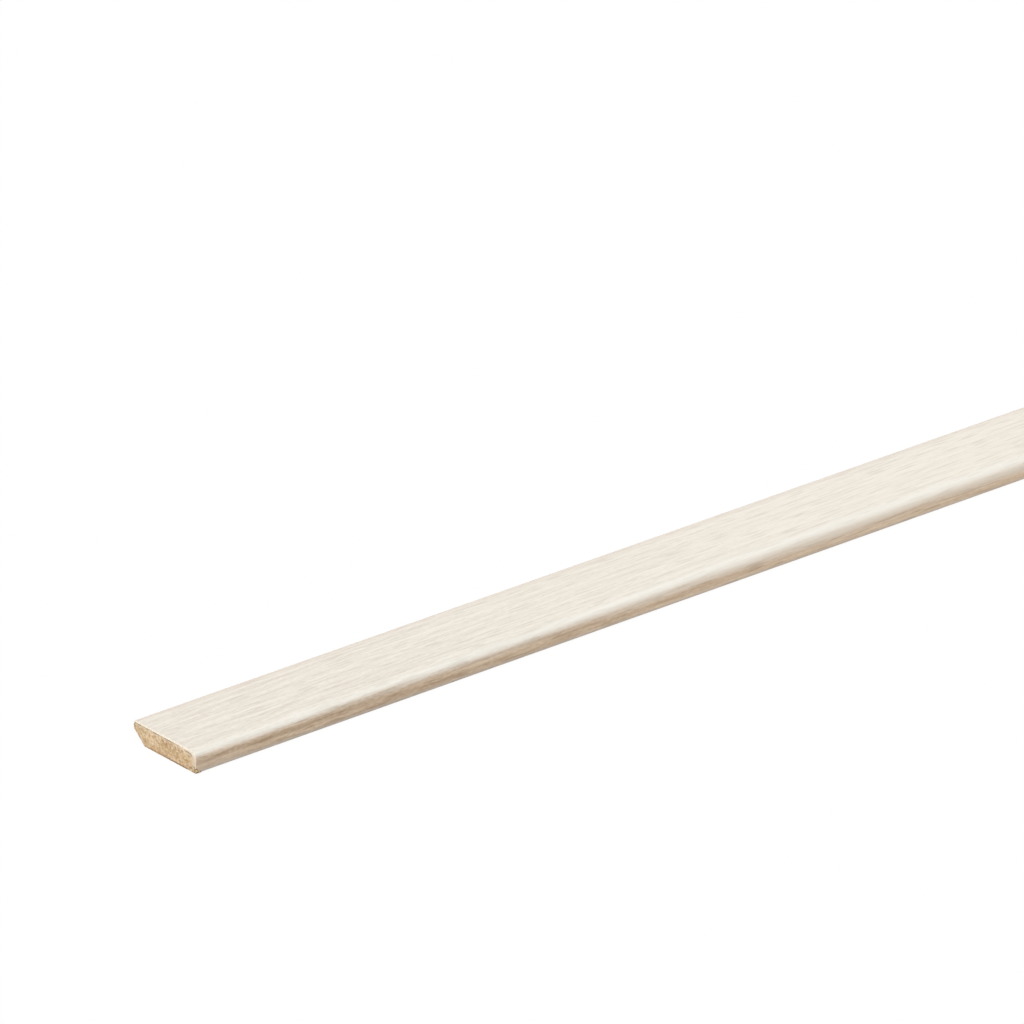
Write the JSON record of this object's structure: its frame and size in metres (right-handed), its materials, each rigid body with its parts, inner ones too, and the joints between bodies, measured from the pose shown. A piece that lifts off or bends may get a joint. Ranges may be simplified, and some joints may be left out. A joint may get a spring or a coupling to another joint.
{
  "type": "skirting board",
  "caption": "Slim stick-on skirting strip with a rounded top edge and an undercut floor lip: MDF wrapped in a pale wood-grain decor foil.",
  "frame": {"origin": "middle of the strip's back, half way along its length and half way across its overall width", "axes": "+X along the strip, +Y across it from the rounded top edge to the floor lip, +Z out of the back towards the visible face"},
  "size_m": [2.4, 0.022, 0.0052],
  "materials": {
    "raw_mdf": "sawn, matt",
    "wood_grain_foil": "pale white-washed wood print, lightly embossed, silk matt"
  },
  "bodies": {
    "root": {"fibreboard_core": "raw_mdf", "decor_foil": "wood_grain_foil"}
  },
  "joints": []
}
